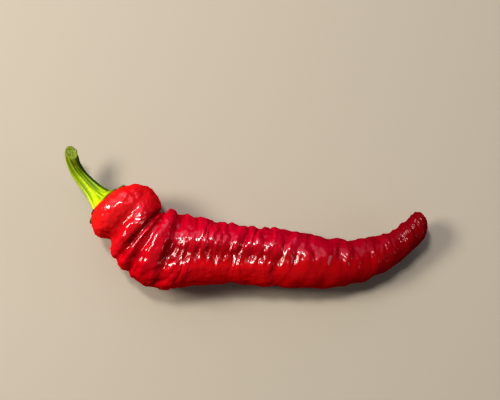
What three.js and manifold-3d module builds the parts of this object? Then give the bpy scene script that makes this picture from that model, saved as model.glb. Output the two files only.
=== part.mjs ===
// A fresh, wrinkled red chilli pepper lying on its side. It has two bodies: the red pod, and the green
// stem with the calyx that it flares into.
// Millimetres, +Z up. The pod lies along +X from its shoulder to its tip, on flat spots in the plane z = 0.
import * as THREE from "three";
import { mergeVertices } from "three/addons/utils/BufferGeometryUtils.js";
import Module from "manifold-3d";

const wasm = await Module();
wasm.setup();

// Driving dimensions of the pod. Each station is one slice across it, as seen from above: the slice's upper
// edge (x, y), its lower edge (x, y), the height of its underside and of its top, and how far its top leans
// towards the tip for each unit of height.
// Slices follow the folds, so near the shoulder they slant and near the tip they slant the other way.
const POD_STATIONS = [
  [-61.2, 17.4, -61.2, 17.4, 13.5, 13.5, -0.16], // 0 floor of the dish that the calyx sits in
  [-58.2, 19.9, -63.8, 14.2, 9.5, 17.5, -0.16], // 1 side of the dish
  [-57.2, 24.9, -67.9, 13.7, 5.5, 22.5, -0.16], // 2 rim of the shoulder, which leans out over the calyx
  [-53.3, 29.0, -69.8, 12.8, 2.0, 26.5, -0.13], // 3 shoulder
  [-46.8, 29.3, -67.9, 7.6, -0.3, 29.5, -0.03], // 4 head, widest
  [-43.0, 27.2, -62.5, 4.4, 0.6, 28.2, 0.1], // 5 furrow across the head
  [-40.3, 21.7, -61.9, 0.9, -0.2, 28.8, 0.16], // 6 fold behind the furrow
  [-39.5, 18.1, -58.9, -4.4, 1.2, 26.4, 0.1], // 7 deep crease under the head
  [-38.7, 17.9, -56.9, -6.6, 0.8, 28.4, 0.1], // 8 narrow fold
  [-38.0, 17.6, -55.1, -7.8, 0.8, 26.6, 0.12], // 9 crease
  [-35.6, 19.4, -50.9, -11.8, -0.4, 29.5, 0.18], // 10 broad fold
  [-33.8, 18.9, -47.2, -13.9, -0.4, 28.6, 0.26], // 11 back of the broad fold
  [-32.2, 17.2, -43.5, -15.6, 0.4, 27.6, 0.28], // 12 deep crease
  [-26.8, 16.4, -33.8, -15.5, -0.6, 28.0, 0.2], // 13 body, just behind the head
  [-17.8, 14.6, -22.9, -14.3, -0.7, 27.0, 0.12],
  [-4.3, 12.2, -8.1, -13.8, -0.7, 25.0, 0.05],
  [9.0, 11.3, 6.3, -14.6, -0.7, 24.5, 0],
  [22.5, 9.2, 21.6, -15.4, -0.7, 23.5, 0],
  [33.6, 6.9, 34.2, -15.2, -0.4, 21.0, 0],
  [43.9, 6.1, 46.2, -13.1, 0.3, 18.6, 0],
  [53.8, 7.6, 57.7, -8.8, 1.2, 17.0, 0], // 20 where the body bends up to the tip
  [61.6, 9.6, 67.4, -2.2, 2.8, 15.4, 0],
  [66.8, 13.0, 72.5, 2.3, 4.0, 15.6, 0],
  [70.2, 16.4, 76.4, 6.4, 5.0, 15.8, 0],
  [73.0, 18.0, 77.6, 9.8, 6.6, 15.2, 0],
  [75.2, 18.1, 77.9, 13.0, 8.4, 14.0, 0],
  [77.0, 15.9, 77.0, 15.9, 11.2, 11.2, 0], // 26 tip
];
// Creases that part the folds on the pod's top: station on the top line, so that 12.55 lies between stations
// 12 and 13, depth, half width, middle and half span in degrees of the stretch that it takes up round the pod
// (0 at the upper edge, 90 on top), and lean along the pod for each radian round it.
const TOP_CREASES = [
  [5.0, 2.2, 4.6, 150, 92, 0],
  [6.85, 2.5, 2.5, 40, 120, 0],
  [6.85, 1.3, 2.4, 150, 80, 0],
  [9.3, 1.7, 2.2, 95, 150, 0],
  [9.7, 0.4, 1.5, 120, 45, 0.8],
  [12.0, 2.0, 4.4, 105, 150, 0],
  [12.55, 0.8, 2.2, 60, 70, -0.6],
  [12.9, 0.8, 1.8, 150, 45, 0.5],
  [13.0, 1.2, 3.0, 45, 85, -1.0],
  [13.35, 0.6, 2.0, 45, 50, 0.6],
  [13.66, 1.2, 3.0, 45, 80, -2.2],
  [14.05, 1.2, 3.0, 40, 78, -0.8],
  [14.32, 0.5, 1.8, 95, 45, -0.6],
  [14.57, 1.2, 3.0, 40, 78, -1.0],
  [14.8, 0.5, 1.8, 100, 45, -0.4],
  [15.06, 1.2, 3.0, 42, 78, -0.8],
  [15.26, 0.5, 1.8, 105, 40, -0.5],
  [15.45, 1.3, 3.0, 42, 80, -1.2],
  [15.65, 0.5, 1.8, 105, 40, -0.5],
  [15.84, 1.0, 2.8, 48, 75, -1.5],
  [16.31, 1.9, 5.0, 80, 85, -1.2],
  [16.87, 1.3, 4.2, 55, 85, -1.0],
  [17.34, 1.4, 4.4, 70, 95, -0.6],
  [17.68, 0.5, 2.6, 80, 35, -0.6],
  [18.02, 0.9, 3.6, 60, 60, 0.4],
  [18.5, 0.8, 3.6, 75, 70, 0.4],
  [19.06, 0.8, 3.4, 80, 70, 0.6],
  [19.52, 0.9, 3.6, 105, 80, 0.4],
  [20.07, 0.6, 2.6, 70, 80, 0.4],
  [20.66, 0.5, 2.2, 75, 80, 0.4],
  [21.2, 0.4, 1.5, 80, 100, 0.2],
  [21.8, 0.35, 1.4, 80, 100, 0.2],
  [22.5, 0.3, 1.4, 80, 110, 0],
  [23.3, 0.3, 1.4, 80, 110, 0],
  [24.5, 0.7, 1.2, 30, 80, 0],
  [15.0, 0.9, 4.0, 185, 35, 0],
];
// Creases on the pod's underside and far side follow a seeded rule: the range of each of the same six values.
const UNDER_CREASES = 30;
const UNDER_SEED = 20071;
const UNDER_FROM = 12.5; // stations between which they lie
const UNDER_TO = 23.5;
const UNDER_DEPTH = [0.4, 0.9];
const UNDER_SHALLOWER = 0.03; // share of the depth lost for each station towards the tip
const UNDER_WIDTH = [1.7, 2.8];
const UNDER_MIDDLE = [215, 325];
const UNDER_SPAN = [35, 80];
const UNDER_LEAN = [-1.2, 1.2];
// Furrows that run lengthwise between the pod's lobes: first and last station, angle, depth and half span.
const FURROWS = [
  [10.5, 17.5, 96, 1.9, 28],
  [13.0, 24.0, 215, 0.9, 40],
  [13.0, 24.0, 335, 0.9, 40],
];
// How the creases stray along the pod: size, waves along the pod, waves round it and phase.
const WANDER = [
  [1.0, 0.31, 2, 0.4],
  [0.8, 0.53, -3, 2.1],
  [0.5, 0.83, 5, 4.0],
];
// Broad lumps on the body and the tip: size, waves along the pod, waves round it and phase.
const LUMPS = [
  [0.2, 0.42, 3, 1.0],
  [0.2, 0.6, -2, 2.7],
  [0.15, 0.75, 4, 0.3],
];
const LUMPS_RISE = [14, 17]; // stations over which the lumps rise, and those over which they settle
const LUMPS_SETTLE = [19, 22];
const LUMPS_AT_TIP = 0.5; // share of their height that is left at the tip
const NECK = 12; // station of the deep crease between the head and the body
const HEAD_WANDER = 0.25; // share of the straying that is left on the head
const WANDER_FROM = [12, 14]; // stations over which the rest of it sets in
const CREASE_DEEPENING = 1.9; // makes up for the depth that a rounded floor takes from a crease
const CREASE_FLOOR = 0.38; // roundness of a crease's floor
const LUMP_FLOOR = 0.17; // more roundness where the body has broad lumps
const LUMPS_FROM = [16, 17.5]; // stations over which the folds give way to the lumps
const CREASE_FULL = 0.35; // share of its span over which a crease keeps its whole depth
const FURROW_STARTS_OVER = 2; // stations over which a furrow sinks in, and those over which it runs out
const FURROW_ENDS_OVER = 2.5;
const FOLDS_FROM = [3, 5]; // stations over which the smooth shoulder gives way to the folds
const TIP_SMOOTH = 1.2; // stations at the tip over which the folds run out
const POD_RINGS = 172;
const POD_SIDES = 34;

// Driving dimensions of the stem, from the calyx to the cut end: centre (x, y, z) and radius.
const STEM_STATIONS = [
  [-61.9, 19.8, 13.1, 7.0], // 0 inside the calyx, under its rim
  [-63.4, 21.2, 13.1, 10.6], // 1 calyx rim, under edge
  [-64.1, 21.9, 12.8, 10.3], // 2 calyx rim, upper edge
  [-64.6, 22.3, 12.5, 7.4], // 3 calyx
  [-65.4, 22.8, 12.1, 6.0], // 4 foot of the stem
  [-67.0, 24.2, 11.4, 5.1],
  [-70.2, 27.6, 10.4, 4.0],
  [-74.4, 32.1, 10.2, 3.3],
  [-77.8, 36.2, 11.2, 2.95],
  [-79.5, 39.9, 13.4, 2.7],
  [-79.9, 43.4, 16.6, 2.7],
  [-79.0, 46.8, 20.0, 2.7], // 11 beyond the cut
];
const CALYX_NORMAL = new THREE.Vector3(-0.731, 0.682, 0);
const CALYX_LEVEL_TO = [2.5, 5]; // stations over which slices turn from the calyx's plane to the stem's
const CUT_POINT = new THREE.Vector3(-79.4, 43.2, 17.3);
const CUT_NORMAL = new THREE.Vector3(0.4, 0.24, 0.885);
const CUT_TURN = 2.2; // stations over which slices turn from square to the slant of the cut
const STEM_RIBS = 6;
const RIB_HEIGHT = 0.09; // share of the radius
const CALYX_LOBES = 6;
const LOBE_HEIGHT = 0.08; // share of the rim's radius
const LOBE_TURN = 0.6;
const LOBES_TO = [1.5, 4]; // stations over which the calyx lobes run out
const RIBS_FROM = [2, 5]; // stations over which the ribs rise out of the calyx
const STEM_RINGS = 46;
const STEM_SIDES = 30;
const CALYX_GAP = 0.3; // clearance between the calyx and the pod under it

const FULL_TURN = 2 * Math.PI;
const STEP = 0.01; // small step of station or angle for directions on the surface
const MEASURING_STEPS = 1200; // steps in which the pod's length is measured
const DRAW_FACTOR = 16807; // factor and range of the seeded numbers
const DRAW_RANGE = 2147483647;
const clamp = (value, low, high) => Math.min(high, Math.max(low, value));
const smoothstep = (from, to, value) => THREE.MathUtils.smoothstep(value, from, to);
const radians = THREE.MathUtils.degToRad;

// Smallest turn from one angle to another in degrees, from -180 to 180.
const turnBetween = (from, to) => THREE.MathUtils.euclideanModulo(to - from + 180, 360) - 180;

// A curve through one point of each station. It is read by station number.
function curveThrough(stations, pointOf) {
  const curve = new THREE.CatmullRomCurve3(stations.map((station) => new THREE.Vector3(...pointOf(station))));
  return (station) => curve.getPoint(clamp(station / (stations.length - 1), 0, 1));
}

const upperEdge = curveThrough(POD_STATIONS, ([x, y, , , , top]) => [x, y, top]);
const lowerEdge = curveThrough(POD_STATIONS, ([, , x, y, under]) => [x, y, under]);
const lastStation = POD_STATIONS.length - 1;

// Distance along the pod for evenly spaced station numbers, as the mean travel of its two edges.
function measurePod(samples) {
  const table = [{ station: 0, along: 0 }];
  for (let i = 1; i <= samples; i++) {
    const before = ((i - 1) / samples) * lastStation;
    const station = (i / samples) * lastStation;
    const upperTravel = upperEdge(before).distanceTo(upperEdge(station));
    const lowerTravel = lowerEdge(before).distanceTo(lowerEdge(station));
    table.push({ station, along: table[i - 1].along + (upperTravel + lowerTravel) / 2 });
  }
  return table;
}

const podTable = measurePod(MEASURING_STEPS);
const podLength = podTable[podTable.length - 1].along;

// Reads one column of the table for a value of the other.
function lookUp(from, to, value) {
  const last = podTable.length - 2;
  const found = podTable.findIndex((row) => row[from] > value);
  const i = found < 0 ? last : Math.max(0, found - 1);
  const [a, b] = [podTable[i], podTable[i + 1]];
  const share = clamp((value - a[from]) / (b[from] - a[from]), 0, 1);
  return a[to] + share * (b[to] - a[to]);
}

// Even numbers between two limits, the same ones for the same seed.
function seededDraw(seed) {
  let state = seed;
  return ([low, high]) => {
    state = (state * DRAW_FACTOR) % DRAW_RANGE;
    return low + ((high - low) * state) / DRAW_RANGE;
  };
}

function underCreases() {
  const draw = seededDraw(UNDER_SEED);
  return Array.from({ length: UNDER_CREASES }, (_, i) => {
    const station = UNDER_FROM + ((UNDER_TO - UNDER_FROM) * (i + draw([0, 1]))) / UNDER_CREASES;
    const depth = draw(UNDER_DEPTH) * (1 - UNDER_SHALLOWER * (station - NECK));
    return [station, depth, draw(UNDER_WIDTH), draw(UNDER_MIDDLE), draw(UNDER_SPAN), draw(UNDER_LEAN)];
  });
}

const creases = [...TOP_CREASES, ...underCreases()].map(([station, depth, width, middle, span, lean]) => ({
  at: lookUp("station", "along", station),
  depth,
  width,
  middle,
  span,
  lean,
}));

// Lean of the slices, in straight steps from station to station.
function leanAt(station) {
  const low = clamp(Math.floor(station), 0, lastStation - 1);
  return THREE.MathUtils.lerp(POD_STATIONS[low][6], POD_STATIONS[low + 1][6], clamp(station - low, 0, 1));
}

// The pod's slice without its folds. Angle 0 is the upper edge seen from above, a quarter turn is the top.
function podSlice(station, angle) {
  const upper = upperEdge(station);
  const lower = lowerEdge(station);
  const point = upper.clone().add(lower).multiplyScalar(0.5);
  const rise = ((upper.z - lower.z) / 2) * Math.sin(angle);
  const [acrossX, acrossY] = [upper.x - lower.x, upper.y - lower.y];
  const lean = (leanAt(station) * rise) / Math.max(Math.hypot(acrossX, acrossY), STEP);
  point.x += (acrossX * Math.cos(angle)) / 2 + acrossY * lean;
  point.y += (acrossY * Math.cos(angle)) / 2 - acrossX * lean;
  point.z += rise;
  return point;
}

// Sum of the waves in a table at one place on the pod.
function waveSum(table, along, angle) {
  return table.reduce((sum, [size, waves, turns, phase]) => {
    return sum + size * Math.sin(waves * along + turns * angle + phase);
  }, 0);
}

// Depth of the creases: sharp at the floor, round at the crests, and straying along the pod on the way round.
function creaseDepth(along, station, angle, stretch) {
  const straying = HEAD_WANDER + (1 - HEAD_WANDER) * smoothstep(...WANDER_FROM, station);
  const place = along + straying * waveSum(WANDER, along, angle);
  const degrees = THREE.MathUtils.radToDeg(angle);
  const offTop = radians(turnBetween(90, degrees));
  const floor = CREASE_FLOOR + LUMP_FLOOR * smoothstep(...LUMPS_FROM, station);
  return creases.reduce((sum, { at, depth, width, middle, span, lean }) => {
    const away = (place - at - lean * offTop) * stretch;
    const share = 1 - smoothstep(CREASE_FULL, 1, Math.abs(turnBetween(middle, degrees)) / span);
    const profile = (1 - Math.min(Math.hypot(away / width, floor), 1)) ** 2;
    return sum + CREASE_DEEPENING * depth * share * profile;
  }, 0);
}

function furrowDepth(station, angle) {
  const degrees = THREE.MathUtils.radToDeg(angle);
  return FURROWS.reduce((sum, [first, last, middle, depth, span]) => {
    const turn = Math.abs(turnBetween(middle, degrees)) / span;
    const begun = smoothstep(first, first + FURROW_STARTS_OVER, station);
    const ended = smoothstep(last - FURROW_ENDS_OVER, last, station);
    return sum + depth * begun * (1 - ended) * (1 - smoothstep(0, 1, turn));
  }, 0);
}

function lumpHeight(along, station, angle) {
  const settled = (1 - LUMPS_AT_TIP) * smoothstep(...LUMPS_SETTLE, station);
  return waveSum(LUMPS, along, angle) * smoothstep(...LUMPS_RISE, station) * (1 - settled);
}

// The pod's surface with its folds, raised by an offset. Where slices crowd together the folds are finer.
function podPoint(along, angle, offset) {
  const station = lookUp("along", "station", along);
  const point = podSlice(station, angle);
  const forward = podSlice(station + STEP, angle).sub(podSlice(station - STEP, angle));
  const round = podSlice(station, angle + STEP).sub(podSlice(station, angle - STEP));
  const outward = round.cross(forward).normalize();
  const run = lookUp("station", "along", station + STEP) - lookUp("station", "along", station - STEP);
  const stretch = Math.min(forward.length() / run, 1);
  const begun = smoothstep(...FOLDS_FROM, station);
  const ended = smoothstep(lastStation - TIP_SMOOTH, lastStation, station);
  const sunk = creaseDepth(along, station, angle, stretch) + furrowDepth(station, angle);
  const depth = (sunk - lumpHeight(along, station, angle)) * begun * (1 - ended) * stretch;
  point.addScaledVector(outward, offset - depth);
  point.z = Math.max(point.z, -offset);
  return point;
}

// A closed surface through rings of points, with a pole at each end.
function loft(rings, startPole, endPole) {
  const sides = rings[0].length;
  const points = [startPole, ...rings.flat(), endPole];
  const endIndex = points.length - 1;
  const at = (ring, side) => 1 + ring * sides + (side % sides);
  const index = [];
  for (let side = 0; side < sides; side++) {
    index.push(0, at(0, side + 1), at(0, side));
    for (let ring = 0; ring < rings.length - 1; ring++) {
      const [a, b] = [at(ring, side), at(ring, side + 1)];
      const [c, d] = [at(ring + 1, side), at(ring + 1, side + 1)];
      index.push(a, b, d, a, d, c);
    }
    index.push(endIndex, at(rings.length - 1, side), at(rings.length - 1, side + 1));
  }
  return new THREE.BufferGeometry().setFromPoints(points).setIndex(index);
}

function podGeometry(offset = 0) {
  const rings = [];
  for (let ring = 1; ring < POD_RINGS; ring++) {
    const along = (ring / POD_RINGS) * podLength;
    const points = [];
    for (let side = 0; side < POD_SIDES; side++) {
      points.push(podPoint(along, (side / POD_SIDES) * FULL_TURN, offset));
    }
    rings.push(points);
  }
  return loft(rings, podSlice(0, 0), podSlice(lastStation, 0));
}

// The stem with its calyx, before its seat is hollowed to the pod. Its slices lie level with the calyx at the
// foot, square on the stem between and on the slanting cut at the end.
function stemGeometry() {
  const centre = curveThrough(STEM_STATIONS, ([x, y, z]) => [x, y, z]);
  const radius = curveThrough(STEM_STATIONS, ([, , , r]) => [r, 0, 0]);
  const beyondCut = (station) => centre(station).sub(CUT_POINT).dot(CUT_NORMAL) > 0;
  let last = STEM_STATIONS.length / 2;
  while (!beyondCut(last)) last += STEP;
  const up = new THREE.Vector3(0, 0, 1);
  const rings = [];
  for (let ring = 0; ring <= STEM_RINGS; ring++) {
    const station = (ring / STEM_RINGS) * last;
    const forward = centre(station + 5 * STEP).sub(centre(station - 5 * STEP)).normalize();
    const side1 = new THREE.Vector3().crossVectors(up, forward).normalize();
    const side2 = new THREE.Vector3().crossVectors(forward, side1);
    const foot = 1 - smoothstep(...CALYX_LEVEL_TO, station);
    const end = smoothstep(last - CUT_TURN, last, station);
    const facing = forward.clone().multiplyScalar(1 - foot - end);
    facing.addScaledVector(CALYX_NORMAL, foot).addScaledVector(CUT_NORMAL, end).normalize();
    const lobes = LOBE_HEIGHT * (1 - smoothstep(...LOBES_TO, station));
    const points = [];
    for (let side = 0; side < STEM_SIDES; side++) {
      const angle = (side / STEM_SIDES) * FULL_TURN;
      const rib = RIB_HEIGHT * smoothstep(...RIBS_FROM, station) * Math.cos(STEM_RIBS * angle);
      const r = radius(station).x * (1 + rib + lobes * Math.cos(CALYX_LOBES * angle + LOBE_TURN));
      const spoke = side1.clone().multiplyScalar(r * Math.cos(angle));
      spoke.addScaledVector(side2, r * Math.sin(angle));
      const slide = -spoke.dot(facing) / forward.dot(facing);
      points.push(centre(station).add(spoke).addScaledVector(forward, slide));
    }
    rings.push(points);
  }
  return loft(rings, centre(0), centre(last));
}

function solidOf(geometry) {
  const merged = mergeVertices(geometry);
  return new wasm.Manifold(
    new wasm.Mesh({
      numProp: 3,
      vertProperties: new Float32Array(merged.attributes.position.array),
      triVerts: new Uint32Array(merged.index.array),
    }),
  );
}

function geometryOf(solid) {
  const mesh = solid.getMesh();
  return new THREE.BufferGeometry()
    .setAttribute("position", new THREE.BufferAttribute(mesh.vertProperties, 3))
    .setIndex(new THREE.BufferAttribute(mesh.triVerts, 1));
}

function seatedStem() {
  const seated = solidOf(stemGeometry()).subtract(solidOf(podGeometry(CALYX_GAP)));
  const pieces = seated.decompose().sort((a, b) => b.volume() - a.volume());
  return geometryOf(pieces[0]);
}

function namedMesh(name, geometry, color, roughness) {
  const material = new THREE.MeshStandardMaterial({ color, roughness, metalness: 0 });
  const mesh = new THREE.Mesh(geometry, material);
  mesh.name = name;
  return mesh;
}

const pepper = new THREE.Group();
pepper.add(namedMesh("pod", podGeometry(), "#b8060f", 0.25));
pepper.add(namedMesh("stem", seatedStem(), "#8fb31a", 0.5));

// The part's origin is under the middle of its box, on the surface that it lies on.
const middle = new THREE.Box3().setFromObject(pepper).getCenter(new THREE.Vector3());
pepper.position.set(-middle.x, -middle.y, 0);

export default pepper;
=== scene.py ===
"""A fresh, wrinkled red chilli pepper with its ribbed green stem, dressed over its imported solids.

The shapes are drawn in millimetres, as the solids are, and become metres when a mesh is made.
"""
import math

import bpy
import numpy as np
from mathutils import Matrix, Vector
from mathutils.bvhtree import BVHTree

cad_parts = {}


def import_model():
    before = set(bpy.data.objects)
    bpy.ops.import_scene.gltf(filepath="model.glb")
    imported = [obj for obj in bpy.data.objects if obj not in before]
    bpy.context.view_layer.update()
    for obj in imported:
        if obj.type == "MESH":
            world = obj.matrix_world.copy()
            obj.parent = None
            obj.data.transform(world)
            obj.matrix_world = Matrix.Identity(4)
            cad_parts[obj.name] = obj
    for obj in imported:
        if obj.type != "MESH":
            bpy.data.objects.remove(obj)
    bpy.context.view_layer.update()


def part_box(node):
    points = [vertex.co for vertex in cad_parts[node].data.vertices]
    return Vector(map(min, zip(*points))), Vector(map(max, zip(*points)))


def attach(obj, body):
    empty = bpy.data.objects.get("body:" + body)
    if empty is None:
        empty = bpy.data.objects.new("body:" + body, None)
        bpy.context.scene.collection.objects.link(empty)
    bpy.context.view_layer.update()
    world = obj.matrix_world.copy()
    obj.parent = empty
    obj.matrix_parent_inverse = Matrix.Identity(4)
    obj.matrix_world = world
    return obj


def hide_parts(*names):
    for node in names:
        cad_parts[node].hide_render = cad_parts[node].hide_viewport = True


MM = 0.001
FULL_TURN = 2 * math.pi
STEP = 0.01  # small step of station or angle for directions on the surface
SAME_PLACE = 1e-4  # points of a curve that are this close count as one
MEASURING_STEPS = 1200  # steps in which the pod's length is measured
DRAW_FACTOR, DRAW_RANGE = 16807, 2147483647  # factor and range of the seeded numbers
NOISE_MIDDLE = 0.5

# Slices across the pod, as on its solid: upper edge (x, y), lower edge (x, y), underside, top, and how far
# its top leans towards the tip for each unit of height.
POD_STATIONS = np.array([
    [-61.2, 17.4, -61.2, 17.4, 13.5, 13.5, -0.16],  # 0 floor of the dish that the calyx sits in
    [-58.2, 19.9, -63.8, 14.2, 9.5, 17.5, -0.16],  # 1 side of the dish
    [-57.2, 24.9, -67.9, 13.7, 5.5, 22.5, -0.16],  # 2 rim of the shoulder, which leans out over the calyx
    [-53.3, 29.0, -69.8, 12.8, 2.0, 26.5, -0.13],  # 3 shoulder
    [-46.8, 29.3, -67.9, 7.6, -0.3, 29.5, -0.03],  # 4 head, widest
    [-43.0, 27.2, -62.5, 4.4, 0.6, 28.2, 0.1],  # 5 furrow across the head
    [-40.3, 21.7, -61.9, 0.9, -0.2, 28.8, 0.16],  # 6 fold behind the furrow
    [-39.5, 18.1, -58.9, -4.4, 1.2, 26.4, 0.1],  # 7 deep crease under the head
    [-38.7, 17.9, -56.9, -6.6, 0.8, 28.4, 0.1],  # 8 narrow fold
    [-38.0, 17.6, -55.1, -7.8, 0.8, 26.6, 0.12],  # 9 crease
    [-35.6, 19.4, -50.9, -11.8, -0.4, 29.5, 0.18],  # 10 broad fold
    [-33.8, 18.9, -47.2, -13.9, -0.4, 28.6, 0.26],  # 11 back of the broad fold
    [-32.2, 17.2, -43.5, -15.6, 0.4, 27.6, 0.28],  # 12 deep crease
    [-26.8, 16.4, -33.8, -15.5, -0.6, 28.0, 0.2],  # 13 body, just behind the head
    [-17.8, 14.6, -22.9, -14.3, -0.7, 27.0, 0.12],
    [-4.3, 12.2, -8.1, -13.8, -0.7, 25.0, 0.05],
    [9.0, 11.3, 6.3, -14.6, -0.7, 24.5, 0],
    [22.5, 9.2, 21.6, -15.4, -0.7, 23.5, 0],
    [33.6, 6.9, 34.2, -15.2, -0.4, 21.0, 0],
    [43.9, 6.1, 46.2, -13.1, 0.3, 18.6, 0],
    [53.8, 7.6, 57.7, -8.8, 1.2, 17.0, 0],  # 20 where the body bends up to the tip
    [61.6, 9.6, 67.4, -2.2, 2.8, 15.4, 0],
    [66.8, 13.0, 72.5, 2.3, 4.0, 15.6, 0],
    [70.2, 16.4, 76.4, 6.4, 5.0, 15.8, 0],
    [73.0, 18.0, 77.6, 9.8, 6.6, 15.2, 0],
    [75.2, 18.1, 77.9, 13.0, 8.4, 14.0, 0],
    [77.0, 15.9, 77.0, 15.9, 11.2, 11.2, 0],  # 26 tip
])
UPPER = POD_STATIONS[:, [0, 1, 5]]
LOWER = POD_STATIONS[:, [2, 3, 4]]
LEAN = POD_STATIONS[:, 6]
LAST = len(POD_STATIONS) - 1
NECK = 12  # station of the deep crease between the head and the body
NARROWEST = 0.01  # least width of a slice, so that it has a direction at the two ends too
TOP = 90  # angle of the pod's top in degrees, counted from the upper edge

# Creases that part the folds on the pod's top: station on the top line, depth, half width, middle and half
# span in degrees of the stretch that it takes up round the pod, and lean along the pod for each radian.
TOP_CREASES = [
    (5.0, 2.2, 4.6, 150, 92, 0.0),
    (6.85, 2.5, 2.5, 40, 120, 0.0),
    (6.85, 1.3, 2.4, 150, 80, 0.0),
    (9.3, 1.7, 2.2, 95, 150, 0.0),
    (9.7, 0.4, 1.5, 120, 45, 0.8),
    (12.0, 2.0, 4.4, 105, 150, 0.0),
    (12.55, 0.8, 2.2, 60, 70, -0.6),
    (12.9, 0.8, 1.8, 150, 45, 0.5),
    (13.0, 1.2, 3.0, 45, 85, -1.0),
    (13.35, 0.6, 2.0, 45, 50, 0.6),
    (13.66, 1.2, 3.0, 45, 80, -2.2),
    (14.05, 1.2, 3.0, 40, 78, -0.8),
    (14.32, 0.5, 1.8, 95, 45, -0.6),
    (14.57, 1.2, 3.0, 40, 78, -1.0),
    (14.8, 0.5, 1.8, 100, 45, -0.4),
    (15.06, 1.2, 3.0, 42, 78, -0.8),
    (15.26, 0.5, 1.8, 105, 40, -0.5),
    (15.45, 1.3, 3.0, 42, 80, -1.2),
    (15.65, 0.5, 1.8, 105, 40, -0.5),
    (15.84, 1.0, 2.8, 48, 75, -1.5),
    (16.31, 1.9, 5.0, 80, 85, -1.2),
    (16.87, 1.3, 4.2, 55, 85, -1.0),
    (17.34, 1.4, 4.4, 70, 95, -0.6),
    (17.68, 0.5, 2.6, 80, 35, -0.6),
    (18.02, 0.9, 3.6, 60, 60, 0.4),
    (18.5, 0.8, 3.6, 75, 70, 0.4),
    (19.06, 0.8, 3.4, 80, 70, 0.6),
    (19.52, 0.9, 3.6, 105, 80, 0.4),
    (20.07, 0.6, 2.6, 70, 80, 0.4),
    (20.66, 0.5, 2.2, 75, 80, 0.4),
    (21.2, 0.4, 1.5, 80, 100, 0.2),
    (21.8, 0.35, 1.4, 80, 100, 0.2),
    (22.5, 0.3, 1.4, 80, 110, 0.0),
    (23.3, 0.3, 1.4, 80, 110, 0.0),
    (24.5, 0.7, 1.2, 30, 80, 0.0),
    (15.0, 0.9, 4.0, 185, 35, 0.0),
]
# Creases on the pod's underside and far side follow a seeded rule: the range of each of the same six values.
UNDER_CREASES = 30
UNDER_SEED = 20071
UNDER_FROM, UNDER_TO = 12.5, 23.5  # stations between which they lie
UNDER_DEPTH = (0.4, 0.9)
UNDER_SHALLOWER = 0.03  # share of the depth lost for each station towards the tip
UNDER_WIDTH = (1.7, 2.8)
UNDER_MIDDLE = (215, 325)
UNDER_SPAN = (35, 80)
UNDER_LEAN = (-1.2, 1.2)
CREASE_DEEPENING = 1.9  # makes up for the depth that a rounded floor takes from a crease
CREASE_FLOOR = 0.38  # roundness of a crease's floor
LUMP_FLOOR = 0.17  # more roundness where the body has broad lumps
CREASE_FULL = 0.35  # share of its span over which a crease keeps its whole depth
# Furrows that run lengthwise between the pod's lobes: first and last station, angle, depth and half span.
FURROWS = [
    (10.5, 17.5, 96, 1.9, 28),
    (13.0, 24.0, 215, 0.9, 40),
    (13.0, 24.0, 335, 0.9, 40),
]
FURROW_STARTS_OVER, FURROW_ENDS_OVER = 2, 2.5  # stations
# How the creases stray along the pod, and the broad lumps on the body: size, waves along the pod, waves
# round it and phase.
WANDER = ((1.0, 0.31, 2, 0.4), (0.8, 0.53, -3, 2.1), (0.5, 0.83, 5, 4.0))
LUMPS = ((0.2, 0.42, 3, 1.0), (0.2, 0.6, -2, 2.7), (0.15, 0.75, 4, 0.3))

# How strong each kind of relief is along the pod. A row gives two stations and the shares before the first
# and after the second of them, and the rows of a table multiply.
LUMPS_FROM = (16, 17.5)  # stations over which the folds give way to the lumps
WANDER_SHARES = ((12, 14, 0.25, 1),)
LUMP_SHARES = ((14, 17, 0, 1), (19, 22, 1, 0.5))
CREASE_SHARES = ((3, 5, 0, 1), (24.8, 26, 1, 0))
SKIN_SHARES = ((2.5, 4.5, 0, 1), (24.8, 25.8, 1, 0))
FOLD_SHARES = ((11, 13.5, 0.3, 1), (*LUMPS_FROM, 1, 0.65))
WRINKLE_SHARES = ((11, 13, 0.55, 1), (*LUMPS_FROM, 1, 0.2))
TIP_WRINKLE_SHARES = ((19, 20.5, 0, 1),)
DENT_SHARES = ((1.5, 3, 0, 1), (12, 14, 1, 0.4), (*LUMPS_FROM, 1, 0.5))
GRAIN_SHARES = ((*LUMPS_FROM, 1, 0.3),)
TIP_GRAIN_SHARES = ((19, 21, 0, 1),)
# The lower flank of the body is smoother: cosines of the angle over which it starts, stations and share.
FLANK_SIDE = (0.0, 0.8)
FLANK_SHARES = ((12.5, 14, 0, 1),)
FLANK_SMOOTHER = 0.75
CROWDING = 1.5  # how fast folds get lower where the slices crowd together
# Wrinkles lie closer together on the slim tip, and reach further round it.
TIP_FROM, TIP_SLIM = 18.5, 20.5
TIP_REACH = 0.75
GIRTH = 13.0  # radius of the pod for the size of its wrinkles

# Fine relief of the pod: lengths along it, reaches round it and heights.
POD_RELIEF = {
    "Fold Length": 8.0, "Fold Reach": 14.0, "Fold Height": 4.2,
    "Wrinkle Length": 2.5, "Wrinkle Reach": 6.0, "Wrinkle Height": 1.25,
    "Fine Length": 1.3, "Fine Reach": 3.2, "Fine Height": 0.9,
    "Crease Softness": 0.05,
    "Dent Length": 4.6, "Dent Height": 2.2,
    "Grain Length": 2.2, "Grain Height": 0.42,
    "Seed": 6.0,
}
FOLD_DRAW, WRINKLE_DRAW, FINE_DRAW = 3.7, 7.1, 2.3  # keep the three sizes of puffy bumps apart
PUFF_STRAY, PUFF_STRAY_SCALE, PUFF_STRAY_DETAIL = 0.8, 1.1, 1.0  # how the bumps stray from even rows
PUFF_DETAIL = 0.3
PUFF_LEVEL = 0.1  # height of the bumps that is level with the skin
DENT_DETAIL, POD_GRAIN_DETAIL = 2.0, 1.5
SOLID_RINGS, SOLID_SIDES = 172, 34
POD_RINGS, POD_SIDES = 560, 176

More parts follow.
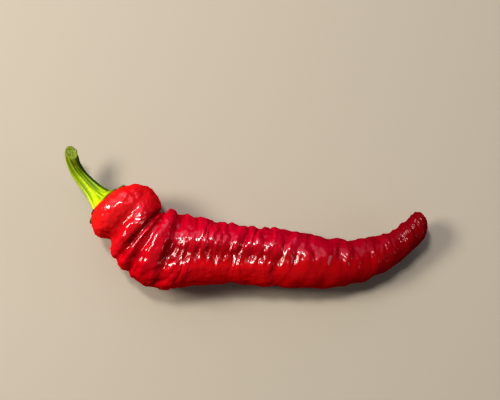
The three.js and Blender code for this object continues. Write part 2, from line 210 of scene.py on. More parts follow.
# The stem from the calyx to the cut end: centre (x, y, z) and radius.
STEM_STATIONS = np.array([
    [-61.9, 19.8, 13.1, 7.0],  # 0 inside the calyx, under its rim
    [-63.4, 21.2, 13.1, 10.6],  # 1 calyx rim, under edge
    [-64.1, 21.9, 12.8, 10.3],  # 2 calyx rim, upper edge
    [-64.6, 22.3, 12.5, 7.4],  # 3 calyx
    [-65.4, 22.8, 12.1, 6.0],  # 4 foot of the stem
    [-67.0, 24.2, 11.4, 5.1],
    [-70.2, 27.6, 10.4, 4.0],
    [-74.4, 32.1, 10.2, 3.3],
    [-77.8, 36.2, 11.2, 2.95],
    [-79.5, 39.9, 13.4, 2.7],
    [-79.9, 43.4, 16.6, 2.7],
    [-79.0, 46.8, 20.0, 2.7],  # 11 beyond the cut
])
STEM_MIDDLE, STEM_RADIUS = STEM_STATIONS[:, :3], STEM_STATIONS[:, 3:]
STEM_STEP = 0.05
CALYX_NORMAL = np.array([-0.731, 0.682, 0.0])
CALYX_LEVEL_TO = (2.5, 5)  # stations over which slices turn from the calyx's plane to the stem's
CALYX_LOBES, LOBE_HEIGHT, LOBE_TURN = 6, 0.08, 0.6
LOBES_TO = (1.5, 4)  # stations over which the calyx lobes run out
CALYX_GAP, CALYX_THICKNESS = 0.3, 0.5
CALYX_THICKENS = (1.0, 2.2)  # stations over which the rim of the calyx gets its thickness
CALYX_END = 6  # station beyond which the stem stands clear of the pod
CUT_POINT = np.array([-79.4, 43.2, 17.3])
CUT_NORMAL = np.array([0.4, 0.24, 0.885])
CUT_TURN = 2.2  # stations over which slices turn from square to the slant of the cut
CUT_SOUGHT_FROM, CUT_SEARCH_STEPS = 8, 400
CUT_HOLLOW = 0.35  # depth of the dish in the cut face
RIBS_FROM = (2, 5)  # stations over which the ribs rise out of the calyx
RIBS_FADE, RIBS_LOST_AT_CUT = 0.4, 0.6
STEM_RINGS, STEM_SIDES, CUT_RINGS = 170, 132, 8
SHADY_SIDE = np.array([0.8, 0.5, -0.3])

# Fine relief of the stem. The heights of ribs and streaks are shares of its radius.
STEM_RELIEF = {
    "Ribs": 7.0, "Rib Height": 0.12,
    "Streak Fineness": 4.2, "Streak Height": 0.6,
    "Grain Length": 1.6, "Grain Height": 0.12,
}
RIB_LEVEL = 0.6  # height of a rib that is level with the stem
STREAK_ALONG = 0.22  # how fast streaks change along the stem, for each station
STREAK_DETAIL, STEM_GRAIN_DETAIL = 2.0, 2.0

# Colours of the pod's lower and upper half, by place along it as a share of a length, and of its hollows.
# Painted light is mixed into these colours, as said at each table.
COLOR_LENGTH = 175.0
# The pod's own reds from the orange-red head to the dark tip, partly painted light: a painted glare sheen at
# the head, painted shade in the folds behind the head, and a lower half painted brighter where little light
# reaches it.
LOWER_REDS_WITH_PAINTED_LIGHT = [
    (0.1, (0.82, 0.018, 0.012)),
    (0.2, (0.62, 0.006, 0.014)),
    (0.3, (0.46, 0.0, 0.008)),
    (0.42, (0.54, 0.0, 0.004)),
    (0.62, (0.47, 0.0, 0.003)),
    (0.95, (0.18, 0.0, 0.003)),
]
# The pod's reds on its upper half, which faces the sky lamp, with painted sky sheen that turns them crimson.
UPPER_REDS_WITH_PAINTED_SHEEN = [
    (0.1, (0.72, 0.012, 0.01)),
    (0.27, (0.50, 0.001, 0.02)),
    (0.62, (0.41, 0.001, 0.022)),
    (0.95, (0.18, 0.0, 0.006)),
]
PAINTED_SHEEN_SIDE = (-0.2, 0.5)  # cosines of the angle over which the upper half's colours set in
POD_GRAIN, POD_PATCHES = 900.0, 90.0  # per metre
POD_PATCH_SHIFT = 30.0  # millimetres by which patches move the colours along the pod
POD_BUMP, POD_BUMP_DEPTH = 0.2, 0.5
# Painted shade in the hollows: the skin darkens between these depths of a hollow; the same depths dull its
# gloss.
HOLLOW_DEPTHS = (0.2, 1.8)
HOLLOW_PAINTED_SHADE = (0.55, 0.45, 0.45, 1)
HOLLOW_GLOSS = 0.45
GLOSS_BLEND = 0.5
GLOSS_TURN = (0.1, 0.34)  # how far the skin turns away until its gloss is gone
GLOSS_FADE, TIP_GLOSS = (105.0, 150.0), 0.2  # distances along the pod over which the gloss fades
POD_ROUGHNESS, COAT_ROUGHNESS, COAT_IOR = 0.5, 0.18, 1.75

# Colours of the stem's sunny and shady side, by place along it from the calyx to the end, and of its cut
# face.
SUNNY_GREENS = [
    (0.12, (0.03, 0.05, 0.003)),
    (0.3, (0.58, 0.7, 0.002)),
    (0.55, (0.42, 0.56, 0.002)),
    (0.8, (0.27, 0.35, 0.006)),
]
SHADY_GREENS = [
    (0.12, (0.03, 0.05, 0.003)),
    (0.3, (0.22, 0.4, 0.002)),
    (0.55, (0.1, 0.2, 0.002)),
    (0.8, (0.03, 0.06, 0.002)),
]
PITH = [
    (0.35, (0.12, 0.17, 0.01)),
    (0.65, (0.3, 0.37, 0.05)),
]
SHADE_FROM = (-0.1, 0.8)
STEM_GRAIN, STEM_PATCHES = 1400.0, 160.0  # per metre
STEM_PATCH_SHIFT = 3.0  # stations by which patches move the colours along the stem
SHADE_SHIFT = 0.1  # share of that by which they move the edge of the shade
STEM_BUMP, STEM_BUMP_DEPTH = 0.3, 0.4
# Painted shade in the flutes: the stem darkens where its surface sinks between the ribs, over these heights.
FLUTE_HEIGHTS = (0.2, -0.35)
FLUTE_PAINTED_SHADE = (0.3, 0.45, 0.25, 1)
STEM_GRAIN_RANGE, STEM_ROUGHNESS = (0.3, 0.7), (0.35, 0.55)
STEM_SPECULAR = 0.2
GRAIN_DETAIL, PATCH_DETAIL = 2.0, 3.0

# Floor and light. A lamp has a name, place in metres, colour, watts, width, height and whether it glints.
FLOOR_REACH = 3.0
FLOOR_COLOR, FLOOR_ROUGHNESS = (0.4, 0.36, 0.29, 1), 0.9
LAMPS = [
    ("sky", (-0.4, 0.9, 1.0), (0.8, 0.74, 0.9), 9.5, 2.2, 1.6, True),
    ("window", (-0.2, 0.3, 0.9), (1.0, 0.97, 0.92), 4.4, 0.12, 0.2, True),
    ("key", (-0.7, 0.15, 0.65), (1.0, 0.94, 0.84), 7.6, 0.35, 0.25, True),
    ("fill", (0.2, -0.9, 0.6), (1.0, 0.93, 0.88), 0.8, 1.2, 0.8, False),
    ("side", (0.9, -0.1, 0.35), (1.0, 0.96, 0.92), 1.2, 0.5, 0.3, True),
]
WORLD_COLOR, WORLD_STRENGTH = (0.6, 0.75, 1, 1), 0.06

# Camera, which looks from almost straight above.
CAMERA_ELEVATION = math.radians(80)
CAMERA_LENS, SENSOR = 60.0, 36.0
CAMERA_DISTANCE = 369 * MM
CAMERA_AIM = (-0.6, 23.3, 14.0)

# Places of the colour inputs and the colour output on a mix node.
MIX_FIRST, MIX_SECOND, MIX_RESULT = 6, 7, 2


def smoothstep(start, end, value):
    share = np.clip((value - start) / (end - start), 0, 1)
    return share * share * (3 - 2 * share)


def unit(vectors):
    return vectors / np.linalg.norm(vectors, axis=-1, keepdims=True)


def shares_along(rows, station):
    """Product of a table's rows: each changes from one share to another between two stations."""
    product = np.ones_like(station)
    for first, last, before, after in rows:
        product *= before + (after - before) * smoothstep(first, last, station)
    return product


def turn_from(middle, degrees):
    """Smallest turn from one angle to another in degrees, from -180 to 180."""
    return (degrees - middle + 180) % 360 - 180


def curve_at(points, station):
    """A centripetal curve through the points, read by station number."""
    last = len(points) - 1
    station = np.clip(station, 0, last)
    low = np.minimum(np.floor(station).astype(int), last - 1)
    padded = np.vstack([2 * points[0] - points[1], points, 2 * points[-1] - points[-2]])
    p0, p1, p2, p3 = (padded[low + i] for i in range(4))
    share = (station - low)[:, None]

    def gap(a, b):
        return np.sum((b - a) ** 2, axis=1, keepdims=True) ** 0.25

    d0, d1, d2 = gap(p0, p1), gap(p1, p2), gap(p2, p3)
    d1 = np.where(d1 < SAME_PLACE, 1.0, d1)
    d0 = np.where(d0 < SAME_PLACE, d1, d0)
    d2 = np.where(d2 < SAME_PLACE, d1, d2)
    t1 = ((p1 - p0) / d0 - (p2 - p0) / (d0 + d1) + (p2 - p1) / d1) * d1
    t2 = ((p2 - p1) / d1 - (p3 - p1) / (d1 + d2) + (p3 - p2) / d2) * d1
    c2 = -3 * p1 + 3 * p2 - 2 * t1 - t2
    c3 = 2 * p1 - 2 * p2 + t1 + t2
    return p1 + t1 * share + c2 * share**2 + c3 * share**3


def measure_pod():
    """Distance along the pod for evenly spaced stations, as the mean travel of its two edges."""
    station = np.linspace(0, LAST, MEASURING_STEPS + 1)
    travel = [np.linalg.norm(np.diff(curve_at(edge, station), axis=0), axis=1) for edge in (UPPER, LOWER)]
    return station, np.concatenate([[0], np.cumsum((travel[0] + travel[1]) / 2)])


TABLE_STATION, TABLE_ALONG = measure_pod()
POD_LENGTH = TABLE_ALONG[-1]


def along_at(station):
    return np.interp(station, TABLE_STATION, TABLE_ALONG)


def seeded_numbers(seed):
    """Endless even numbers from 0 to 1, the same ones for the same seed."""
    while True:
        seed = seed * DRAW_FACTOR % DRAW_RANGE
        yield seed / DRAW_RANGE


def under_creases():
    numbers = seeded_numbers(UNDER_SEED)

    def between(low, high):
        return low + (high - low) * next(numbers)

    made = []
    for i in range(UNDER_CREASES):
        station = UNDER_FROM + (UNDER_TO - UNDER_FROM) * (i + between(0.0, 1.0)) / UNDER_CREASES
        depth = between(*UNDER_DEPTH) * (1 - UNDER_SHALLOWER * (station - NECK))
        shape = [between(*limits) for limits in (UNDER_WIDTH, UNDER_MIDDLE, UNDER_SPAN, UNDER_LEAN)]
        made.append((station, depth, *shape))
    return made


def pod_slice(station, angle):
    """Points on the pod without its folds. Angle 0 is the upper edge, a quarter turn the top."""
    upper, lower = curve_at(UPPER, station), curve_at(LOWER, station)
    point = (upper + lower) / 2
    rise = (upper[:, 2] - lower[:, 2]) / 2 * np.sin(angle)
    across = (upper - lower)[:, :2]
    width = np.maximum(np.linalg.norm(across, axis=1), NARROWEST)
    tipward = np.stack([across[:, 1], -across[:, 0]], axis=1) / width[:, None]
    lean = np.interp(station, np.arange(LAST + 1), LEAN) * rise
    point[:, :2] += across * (np.cos(angle) / 2)[:, None] + tipward * lean[:, None]
    point[:, 2] += rise
    return point


def wave_sum(waves, along, angle):
    return sum(size * np.sin(runs * along + turns * angle + phase) for size, runs, turns, phase in waves)


def crease_depth(along, station, angle, stretch):
    """Creases with sharp floors and round crests, which stray along the pod on their way round it."""
    depth = np.zeros_like(along)
    degrees = np.degrees(angle)
    place = along + wave_sum(WANDER, along, angle) * shares_along(WANDER_SHARES, station)
    off_top = np.radians(turn_from(TOP, degrees))
    floor = CREASE_FLOOR + LUMP_FLOOR * smoothstep(*LUMPS_FROM, station)
    for top_station, deep, width, middle, span, lean in TOP_CREASES + under_creases():
        away = (place - along_at(top_station) - lean * off_top) * stretch
        share = 1 - smoothstep(CREASE_FULL, 1.0, np.abs(turn_from(middle, degrees)) / span)
        fall = np.minimum(np.hypot(away / width, floor), 1)
        depth += CREASE_DEEPENING * deep * share * (1 - fall) ** 2
    return depth


def furrow_depth(station, angle):
    depth = np.zeros_like(station)
    for first, last, middle, deep, span in FURROWS:
        turn = np.abs(turn_from(middle, np.degrees(angle))) / span
        sunk = smoothstep(first, first + FURROW_STARTS_OVER, station)
        run_out = smoothstep(last - FURROW_ENDS_OVER, last, station)
        depth += deep * (sunk * (1 - run_out)) * (1 - smoothstep(0, 1, turn))
    return depth


def pod_points(rings, sides):
    """Grid of the pod's surface, rings by sides, without the two poles, and what belongs to each point."""
    along = np.linspace(0, POD_LENGTH, rings + 1)[1:-1]
    station = np.repeat(np.interp(along, TABLE_ALONG, TABLE_STATION), sides)
    turn = np.arange(sides) / sides * FULL_TURN
    along, angle = (grid.ravel() for grid in np.meshgrid(along, turn, indexing="ij"))
    point = pod_slice(station, angle)
    forward = pod_slice(station + STEP, angle) - pod_slice(station - STEP, angle)
    around = pod_slice(station, angle + STEP) - pod_slice(station, angle - STEP)
    outward = unit(np.cross(around, forward))
    run = along_at(station + STEP) - along_at(station - STEP)
    stretch = np.minimum(np.linalg.norm(forward, axis=1) / run, 1)
    depth = crease_depth(along, station, angle, stretch) + furrow_depth(station, angle)
    depth -= wave_sum(LUMPS, along, angle) * shares_along(LUMP_SHARES, station)
    depth *= shares_along(CREASE_SHARES, station) * stretch
    point -= outward * depth[:, None]
    point[:, 2] = np.maximum(point[:, 2], 0)
    return point, {"along": along, "angle": angle, "station": station, "stretch": stretch, "depth": depth}


def loft_mesh(name, rings, start, end):
    """A closed mesh through an array of rings of points, with a pole at each end, in metres."""
    count, sides = rings.shape[:2]
    points = np.vstack([start, rings.reshape(-1, 3), end]) * MM
    ring, side = np.meshgrid(np.arange(count - 1), np.arange(sides), indexing="ij")
    a = 1 + ring * sides + side
    b = 1 + ring * sides + (side + 1) % sides
    faces = np.stack([a, b, b + sides, a + sides], axis=-1).reshape(-1, 4).tolist()
    last = len(points) - 1
    last_ring = 1 + (count - 1) * sides
    for s in range(sides):
        t = (s + 1) % sides
        faces.append([0, 1 + t, 1 + s])
        faces.append([last, last_ring + s, last_ring + t])
    mesh = bpy.data.meshes.new(name)
    mesh.from_pydata(points.tolist(), [], faces)
    mesh.update()
    mesh.shade_smooth()
    return mesh


def link(name, data):
    made = bpy.data.objects.new(name, data)
    bpy.context.scene.collection.objects.link(made)
    return made


def write_column(mesh, name, values, first=0.0, last=0.0):
    """One number for each point, with the values of the two poles given apart."""
    column = np.concatenate([[first], np.ravel(values), [last]]).astype(np.float32)
    mesh.attributes.new(name, "FLOAT", "POINT").data.foreach_set("value", column)


def frame_offset():
    """Where the drawing's origin lies in the part's frame, from the pod's box at the solid's fineness."""
    grid = pod_points(SOLID_RINGS, SOLID_SIDES)[0]
    low = np.array(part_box("pod")[0]) / MM
    return np.array([low[0] - grid[:, 0].min(), low[1] - grid[:, 1].min(), 0.0])


class Tree:
    """Adds nodes to a node tree: each call makes one node and gives one of its outputs."""

    def __init__(self, tree):
        self.tree = tree

    def add(self, kind, inputs=None, out=0, **settings):
        node = self.tree.nodes.new(kind)
        for name, value in settings.items():
            setattr(node, name, value)
        for key, value in (inputs or {}).items():
            self.set(node.inputs[key], value)
        return node.outputs[out]

    def set(self, socket, value):
        if isinstance(value, bpy.types.NodeSocket):
            self.tree.links.new(value, socket)
        else:
            socket.default_value = value

    def math(self, operation, a, b=0.0):
        return self.add("ShaderNodeMath", {0: a, 1: b}, operation=operation)

    def vector(self, operation, a, b):
        return self.add("ShaderNodeVectorMath", {0: a, 1: b}, operation=operation)

    def named(self, name):
        return self.add("GeometryNodeInputNamedAttribute", {"Name": name}, data_type="FLOAT")

    def noise(self, place, scale, detail):
        """Noise at a place, counted from its middle."""
        level = self.add("ShaderNodeTexNoise", {"Vector": place, "Scale": scale, "Detail": detail})
        return self.math("SUBTRACT", level, NOISE_MIDDLE)

    def uneven(self, length, height, detail):
        """Bumps and dents of a length and a height in millimetres, the same in all directions."""
        per_metre = self.math("DIVIDE", 1 / MM, length)
        level = self.noise(self.add("GeometryNodeInputPosition"), per_metre, detail)
        return self.math("MULTIPLY", level, height)


def relief_tree(name, numbers):
    """An empty Geometry Nodes tree with a geometry, the numbers and a material as its inputs."""
    group = bpy.data.node_groups.new(name, "GeometryNodeTree")
    group.interface.new_socket("Geometry", in_out="INPUT", socket_type="NodeSocketGeometry")
    for number in numbers:
        group.interface.new_socket(number, in_out="INPUT", socket_type="NodeSocketFloat")
    group.interface.new_socket("Skin", in_out="INPUT", socket_type="NodeSocketMaterial")
    group.interface.new_socket("Geometry", in_out="OUTPUT", socket_type="NodeSocketGeometry")
    return Tree(group), group.nodes.new("NodeGroupInput").outputs


def raise_skin(tree, given, raised):
    """Moves the surface out by a height in millimetres, keeps it above the ground and closes the tree."""
    normal = tree.add("GeometryNodeInputNormal")
    height = tree.math("MULTIPLY", raised, MM)
    offset = tree.add("ShaderNodeVectorMath", {0: normal, "Scale": height}, operation="SCALE")
    column = {"Geometry": given["Geometry"], "Name": "raised", "Value": raised}
    kept = tree.add("GeometryNodeStoreNamedAttribute", column)
    moved = tree.add("GeometryNodeSetPosition", {"Geometry": kept, "Offset": offset})
    x, y, z = tree.add("ShaderNodeSeparateXYZ", {0: tree.add("GeometryNodeInputPosition")}).node.outputs
    floored = tree.add("ShaderNodeCombineXYZ", {0: x, 1: y, 2: tree.math("MAXIMUM", z, 0.0)})
    rested = tree.add("GeometryNodeSetPosition", {"Geometry": moved, "Position": floored})
    whole = tree.add("GeometryNodeRealizeInstances", {"Geometry": rested})
    skinned = tree.add("GeometryNodeSetMaterial", {"Geometry": whole, "Material": given["Skin"]})
    tree.set(tree.tree.nodes.new("NodeGroupOutput").inputs[0], skinned)
    return tree.tree


def wrinkle_tree():
    """Puffy folds, wrinkles, dents and a fine unevenness on the pod, by the columns of its own surface."""
    tree, given = relief_tree("skin_wrinkles", POD_RELIEF)
    run, across, over = tree.named("run"), tree.named("across"), tree.named("over")
    softness = tree.math("MULTIPLY", given["Crease Softness"], given["Crease Softness"])

    def puffs(kind, draw):
        """Puffy bumps parted by narrow creases, longer round the pod than along it."""
        length, reach = given[kind + " Length"], given[kind + " Reach"]
        place = tree.add("ShaderNodeCombineXYZ", {
            0: tree.math("DIVIDE", run, length),
            1: tree.math("DIVIDE", across, reach),
            2: tree.math("DIVIDE", over, reach),
        })
        place = tree.vector("ADD", place, tree.math("MULTIPLY", given["Seed"], draw))
        noise = {"Vector": place, "Scale": PUFF_STRAY_SCALE, "Detail": PUFF_STRAY_DETAIL}
        stray = tree.add("ShaderNodeTexNoise", noise, out="Color")
        stray = tree.vector("SUBTRACT", stray, (NOISE_MIDDLE,) * 3)
        stray = tree.vector("MULTIPLY", stray, (PUFF_STRAY,) * 3)
        level = tree.noise(tree.vector("ADD", place, stray), 1.0, PUFF_DETAIL)
        rounded = tree.math("SQRT", tree.math("ADD", tree.math("MULTIPLY", level, level), softness))
        return tree.math("MULTIPLY", tree.math("SUBTRACT", rounded, PUFF_LEVEL), given[kind + " Height"])

    layers = {
        "folding": puffs("Fold", FOLD_DRAW),
        "wrinkling": tree.math("ADD", puffs("Wrinkle", WRINKLE_DRAW), puffs("Fine", FINE_DRAW)),
        "denting": tree.uneven(given["Dent Length"], given["Dent Height"], DENT_DETAIL),
        "graining": tree.uneven(given["Grain Length"], given["Grain Height"], POD_GRAIN_DETAIL),
    }
    raised = 0.0
    for share, layer in layers.items():
        raised = tree.math("ADD", raised, tree.math("MULTIPLY", layer, tree.named(share)))
    return raise_skin(tree, given, raised)


def rib_tree():
    """Ribs and fine fibre lines that run along the stem, by the columns of its own surface."""
    tree, given = relief_tree("stem_ribs", STEM_RELIEF)
    turn = tree.named("turn")
    half_waves = tree.math("MULTIPLY", tree.math("MULTIPLY", turn, given["Ribs"]), 1 / 2)
    arch = tree.math("ABSOLUTE", tree.math("SINE", half_waves))
    rib = tree.math("MULTIPLY", tree.math("SUBTRACT", arch, RIB_LEVEL), given["Rib Height"])
    place = tree.add("ShaderNodeCombineXYZ", {
        0: tree.math("MULTIPLY", tree.math("COSINE", turn), given["Streak Fineness"]),
        1: tree.math("MULTIPLY", tree.math("SINE", turn), given["Streak Fineness"]),
        2: tree.math("MULTIPLY", tree.named("station"), STREAK_ALONG),
    })
    streak = tree.math("MULTIPLY", tree.noise(place, 1.0, STREAK_DETAIL), given["Streak Height"])
    raised = tree.math("MULTIPLY", tree.math("ADD", rib, streak), tree.named("reach"))
    grain = tree.uneven(given["Grain Length"], given["Grain Height"], STEM_GRAIN_DETAIL)
    return raise_skin(tree, given, tree.math("ADD", raised, grain))


def grown(raw, tree, values):
    """The raw object with a Geometry Nodes tree run on it and made a plain mesh."""
    modifier = raw.modifiers.new(tree.name, "NODES")
    modifier.node_group = tree
    for item in tree.interface.items_tree:
        if item.in_out == "INPUT" and item.name in values:
            modifier[item.identifier] = values[item.name]
    evaluated = raw.evaluated_get(bpy.context.evaluated_depsgraph_get())
    mesh = bpy.data.meshes.new_from_object(evaluated)
    raw.modifiers.remove(modifier)
    raw.data = mesh
    mesh.shade_smooth()
    return raw


def new_material(name):
    material = bpy.data.materials.new(name)
    material.use_nodes = True
    return material, Tree(material.node_tree), material.node_tree.nodes["Principled BSDF"].inputs


def color_ramp(tree, share, stops):
    ramp = tree.add("ShaderNodeValToRGB", {"Fac": share})
    elements = ramp.node.color_ramp.elements
    while len(elements) < len(stops):
        elements.new(0.5)
    for element, (position, color) in zip(elements, stops):
        element.position = position
        element.color = (*color, 1)
    return ramp


def column(tree, name):
    return tree.add("ShaderNodeAttribute", out="Fac", attribute_name=name)


def scaled(tree, value, limits, low=0.0, high=1.0):
    """A value between two limits turned into one between low and high."""
    start, end = limits
    return tree.add("ShaderNodeMapRange", {
        "Value": value, "From Min": start, "From Max": end, "To Min": low, "To Max": high,
    })


def mixed(tree, share, color, other, way="MIX"):
    inputs = {"Factor": share, MIX_FIRST: color, MIX_SECOND: other}
    return tree.add("ShaderNodeMix", inputs, out=MIX_RESULT, data_type="RGBA", blend_type=way)


def bump(tree, height, strength, depth):
    return tree.add("ShaderNodeBump", {"Strength": strength, "Distance": depth * MM, "Height": height})


def grain_group():
    """Fine skin grain and slow patches of colour, which the pod and the stem share at their own sizes."""
    group = bpy.data.node_groups.new("plant_grain", "ShaderNodeTree")
    for name in ("Grain per Metre", "Patches per Metre"):
        group.interface.new_socket(name, in_out="INPUT", socket_type="NodeSocketFloat")
    for name in ("Grain", "Patches"):
        group.interface.new_socket(name, in_out="OUTPUT", socket_type="NodeSocketFloat")
    tree = Tree(group)
    given = group.nodes.new("NodeGroupInput").outputs
    made = group.nodes.new("NodeGroupOutput").inputs
    place = tree.add("ShaderNodeTexCoord", out="Object")
    for name, detail in (("Grain", GRAIN_DETAIL), ("Patches", PATCH_DETAIL)):
        inputs = {"Vector": place, "Scale": given[name + " per Metre"], "Detail": detail}
        tree.set(made[name], tree.add("ShaderNodeTexNoise", inputs))
    return group


def plant_grain(tree, grain, patches):
    """The shared grain with its own number of grains and patches for each metre: its two outputs."""
    node = tree.tree.nodes.new("ShaderNodeGroup")
    node.node_tree = bpy.data.node_groups.get("plant_grain") or grain_group()
    node.inputs["Grain per Metre"].default_value = grain
    node.inputs["Patches per Metre"].default_value = patches
    return node.outputs["Grain"], node.outputs["Patches"]


def pod_material():
    """Waxy skin: orange-red at the head with a painted glare sheen, crimson from painted sky sheen on its
    upper half, dark at the tip, with painted shade in its hollows and in the folds behind the head.
    """
    material, tree, shader = new_material("pod_skin")
    along = column(tree, "along")
    grain, patches = plant_grain(tree, POD_GRAIN, POD_PATCHES)
    shift = tree.math("MULTIPLY", tree.math("SUBTRACT", patches, NOISE_MIDDLE), POD_PATCH_SHIFT)
    share = scaled(tree, tree.math("ADD", along, shift), (0.0, COLOR_LENGTH))
    # painted sky sheen: the upper half takes the crimson reds
    upper = scaled(tree, tree.math("COSINE", column(tree, "turn")), PAINTED_SHEEN_SIDE)
    red = mixed(tree, upper, color_ramp(tree, share, LOWER_REDS_WITH_PAINTED_LIGHT), color_ramp(tree, share, UPPER_REDS_WITH_PAINTED_SHEEN))
    # painted shade: the skin darkens in its hollows, the deeper the darker
    sunk = tree.math("SUBTRACT", column(tree, "depth"), column(tree, "raised"))
    hollow = scaled(tree, sunk, HOLLOW_DEPTHS)
    tree.set(shader["Base Color"], mixed(tree, hollow, red, HOLLOW_PAINTED_SHADE, "MULTIPLY"))
    tree.set(shader["Normal"], bump(tree, grain, POD_BUMP, POD_BUMP_DEPTH))
    facing = tree.add("ShaderNodeLayerWeight", {"Blend": GLOSS_BLEND}, out="Facing")
    gloss = scaled(tree, facing, GLOSS_TURN, 1.0, 0.0)
    gloss = tree.math("MULTIPLY", gloss, scaled(tree, hollow, (0.0, 1.0), 1.0, HOLLOW_GLOSS))
    gloss = tree.math("MULTIPLY", gloss, scaled(tree, along, GLOSS_FADE, 1.0, TIP_GLOSS))
    tree.set(shader["Coat Weight"], gloss)
    shader["Coat Roughness"].default_value = COAT_ROUGHNESS
    shader["Coat IOR"].default_value = COAT_IOR
    shader["Specular IOR Level"].default_value = 0.0
    shader["Roughness"].default_value = POD_ROUGHNESS
    return material


def stem_material():
    """Satin green: dark at the calyx rim and on the shady side, yellow at the foot, with painted shade in
    its flutes.
    """
    material, tree, shader = new_material("stem_green")
    grain, patches = plant_grain(tree, STEM_GRAIN, STEM_PATCHES)
    shift = tree.math("MULTIPLY", tree.math("SUBTRACT", patches, NOISE_MIDDLE), STEM_PATCH_SHIFT)
    length = (0.0, len(STEM_STATIONS) - 1.0)
    share = scaled(tree, tree.math("ADD", column(tree, "station"), shift), length)
    shade_shift = tree.math("MULTIPLY", shift, SHADE_SHIFT)
    side = scaled(tree, tree.math("ADD", column(tree, "far"), shade_shift), SHADE_FROM)
    green = mixed(tree, side, color_ramp(tree, share, SUNNY_GREENS), color_ramp(tree, share, SHADY_GREENS))
    # painted shade in the flutes between the ribs
    painted_flute_shade = scaled(tree, column(tree, "raised"), FLUTE_HEIGHTS)
    skin = mixed(tree, painted_flute_shade, green, FLUTE_PAINTED_SHADE, "MULTIPLY")
    tree.set(shader["Base Color"], mixed(tree, column(tree, "cut"), skin, color_ramp(tree, grain, PITH)))
    tree.set(shader["Roughness"], scaled(tree, grain, STEM_GRAIN_RANGE, *STEM_ROUGHNESS))
    tree.set(shader["Normal"], bump(tree, grain, STEM_BUMP, STEM_BUMP_DEPTH))
    shader["Specular IOR Level"].default_value = STEM_SPECULAR
    return material


def pod_columns(skin):
    """What the pod's relief and colours read at each point: place, and share of each relief."""
    along, station, angle, stretch = (skin[name] for name in ("along", "station", "angle", "stretch"))
    flank = smoothstep(*FLANK_SIDE, -np.cos(angle)) * shares_along(FLANK_SHARES, station)
    ends = shares_along(SKIN_SHARES, station)
    share = (1 - FLANK_SMOOTHER * flank) * ends * stretch**CROWDING
    wrinkling = shares_along(WRINKLE_SHARES, station) + shares_along(TIP_WRINKLE_SHARES, station)
    graining = shares_along(GRAIN_SHARES, station) + shares_along(TIP_GRAIN_SHARES, station)
    girth = 1 - TIP_REACH * smoothstep(TIP_FROM, TIP_SLIM, station)
    return {
        "run": along + np.maximum(0, along - along_at(TIP_FROM)),
        "across": GIRTH * np.cos(angle) * girth,
        "over": GIRTH * np.sin(angle) * girth,
        "turn": angle,
        "depth": skin["depth"],
        "folding": shares_along(FOLD_SHARES, station) * share,
        "wrinkling": wrinkling * share,
        "denting": shares_along(DENT_SHARES, station) * np.sqrt(stretch),
        "graining": ends * stretch * graining,
    }


def make_pod(offset):
    grid, skin = pod_points(POD_RINGS, POD_SIDES)
    rings = (grid + offset).reshape(POD_RINGS - 1, POD_SIDES, 3)
    start, end = (pod_slice(np.array([place]), np.zeros(1)) + offset for place in (0.0, float(LAST)))
    mesh = loft_mesh("pod_wrinkled", rings, start, end)
    write_column(mesh, "along", skin["along"], 0, POD_LENGTH)
    for name, values in pod_columns(skin).items():
        write_column(mesh, name, values)
    return grown(link("pod_wrinkled", mesh), wrinkle_tree(), {**POD_RELIEF, "Skin": pod_material()})


def cut_station():
    """Station where the stem's middle line meets its slanting cut."""
    station = np.linspace(CUT_SOUGHT_FROM, len(STEM_STATIONS) - 1, CUT_SEARCH_STEPS)
    beyond = (curve_at(STEM_MIDDLE, station) - CUT_POINT) @ CUT_NORMAL
    return station[np.argmax(beyond > 0)]


def stem_rings():
    """Rings round the stem: level with the calyx at its foot, then square to it, then on the cut."""
    last = cut_station()
    station = np.linspace(0, last, STEM_RINGS)
    centre = curve_at(STEM_MIDDLE, station)
    radius = curve_at(STEM_RADIUS, station)[:, 0]
    forward = unit(curve_at(STEM_MIDDLE, station + STEM_STEP) - curve_at(STEM_MIDDLE, station - STEM_STEP))
    side = unit(np.cross([0, 0, 1], forward))
    over = np.cross(forward, side)
    foot = (1 - smoothstep(*CALYX_LEVEL_TO, station))[:, None]
    end = smoothstep(last - CUT_TURN, last, station)[:, None]
    facing = unit(forward * (1 - foot - end) + CALYX_NORMAL * foot + CUT_NORMAL * end)
    turn = np.arange(STEM_SIDES) / STEM_SIDES * FULL_TURN
    lobe = np.cos(CALYX_LOBES * turn + LOBE_TURN)
    lobes = 1 + LOBE_HEIGHT * np.outer(1 - smoothstep(*LOBES_TO, station), lobe)
    spoke = side[:, None] * np.cos(turn)[:, None] + over[:, None] * np.sin(turn)[:, None]
    spoke = spoke * (radius[:, None] * lobes)[..., None]
    slide = -np.einsum("rsk,rk->rs", spoke, facing) / np.sum(forward * facing, axis=1)[:, None]
    rings = centre[:, None] + spoke + forward[:, None] * slide[..., None]
    return rings, station, turn, radius


def drape(rings, station, offset, pod):
    """Lifts the calyx off the pod, thin at its rim and thicker towards the stem's foot."""
    tree = BVHTree.FromPolygons([v.co for v in pod.data.vertices], [p.vertices for p in pod.data.polygons])
    for ring, place in zip(rings, station):
        if place > CALYX_END:
            break
        lift = (CALYX_GAP + CALYX_THICKNESS * float(smoothstep(*CALYX_THICKENS, place))) * MM
        for point in ring:
            here = Vector((point + offset) * MM)
            spot, normal, _, _ = tree.find_nearest(here)
            if (here - spot).dot(normal) < lift:
                point[:] = np.array(spot + normal * lift) / MM - offset


def cut_face(rim):
    """Rings of the cut face from its rim inwards, with its middle point, dished a little."""
    inward = np.linspace(1, 0, CUT_RINGS + 1)[1:-1]
    middle = rim.mean(axis=0)
    face = middle + (rim - middle) * inward[:, None, None]
    face -= CUT_NORMAL * (CUT_HOLLOW * (1 - inward**2))[:, None, None]
    return face, middle - CUT_NORMAL * CUT_HOLLOW


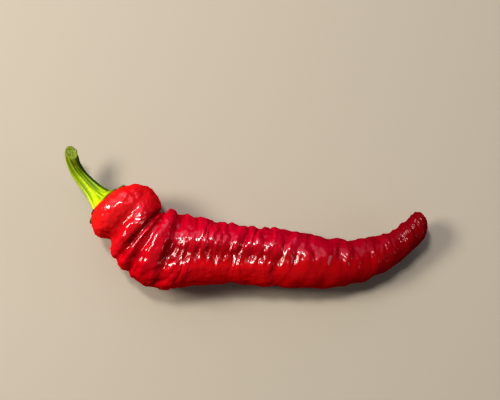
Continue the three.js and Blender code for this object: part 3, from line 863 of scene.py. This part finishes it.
def make_stem(offset, pod):
    rings, station, turn, radius = stem_rings()
    drape(rings, station, offset, pod)
    face, middle = cut_face(rings[-1])
    whole = np.concatenate([rings, face])
    mesh = loft_mesh("stem_ribbed", whole + offset, rings[0].mean(axis=0) + offset, middle + offset)
    last = station[-1]
    on_face = np.zeros(len(face))
    ribbing = radius * smoothstep(*RIBS_FROM, station)
    ribbing *= 1 - RIBS_LOST_AT_CUT * smoothstep(last - RIBS_FADE, last, station)

    def write_rings(name, on_stem, on_cut, *poles):
        values = np.concatenate([on_stem, on_cut])
        write_column(mesh, name, np.repeat(values, STEM_SIDES), *poles)

    write_rings("station", station, on_face + last, 0, last)
    write_rings("reach", ribbing, on_face)
    write_rings("cut", station * 0, on_face + 1, 0, 1)
    write_column(mesh, "turn", np.tile(turn, len(whole)))
    write_column(mesh, "far", unit(whole - whole.mean(axis=1, keepdims=True)) @ SHADY_SIDE)
    return grown(link("stem_ribbed", mesh), rib_tree(), {**STEM_RELIEF, "Skin": stem_material()})


def make_floor():
    floor = bpy.data.meshes.new("floor")
    corners = [(x * FLOOR_REACH, y * FLOOR_REACH, 0) for x, y in ((-1, -1), (1, -1), (1, 1), (-1, 1))]
    floor.from_pydata(corners, [], [(0, 1, 2, 3)])
    material, _, shader = new_material("pale_floor")
    shader["Base Color"].default_value = FLOOR_COLOR
    shader["Roughness"].default_value = FLOOR_ROUGHNESS
    floor.materials.append(material)
    ground = link("floor", floor)
    ground.visible_glossy = False


def light_stage():
    for name, place, color, power, width, height, glints in LAMPS:
        data = bpy.data.lights.new(name, "AREA")
        data.shape = "RECTANGLE"
        data.size, data.size_y = width, height
        data.energy = power
        data.color = color
        lamp = link(name, data)
        lamp.location = place
        lamp.rotation_euler = (-Vector(place)).to_track_quat("-Z", "Y").to_euler()
        lamp.visible_glossy = glints
    scene = bpy.context.scene
    scene.world = bpy.data.worlds.new("world")
    scene.world.use_nodes = True
    background = scene.world.node_tree.nodes["Background"].inputs
    background["Color"].default_value = WORLD_COLOR
    background["Strength"].default_value = WORLD_STRENGTH
    scene.view_settings.view_transform = "Standard"
    scene.view_settings.look = "Medium High Contrast"


def place_camera(offset):
    data = bpy.data.cameras.new("camera")
    data.lens, data.sensor_width = CAMERA_LENS, SENSOR
    camera = link("camera", data)
    target = Vector((np.array(CAMERA_AIM) + offset) * MM)
    back = Vector((0, -math.cos(CAMERA_ELEVATION), math.sin(CAMERA_ELEVATION)))
    camera.location = target + back * CAMERA_DISTANCE
    camera.rotation_mode = "QUATERNION"
    camera.rotation_quaternion = (-back).to_track_quat("-Z", "Y")
    bpy.context.scene.camera = camera


def main():
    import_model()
    offset = frame_offset()
    place_camera(offset)
    make_floor()
    light_stage()
    pod = make_pod(offset)
    stem = make_stem(offset, pod)
    for piece, node, slot in ((pod, "pod", "pod_skin"), (stem, "stem", "stem_green")):
        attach(piece, "root")
        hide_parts(node)


main()
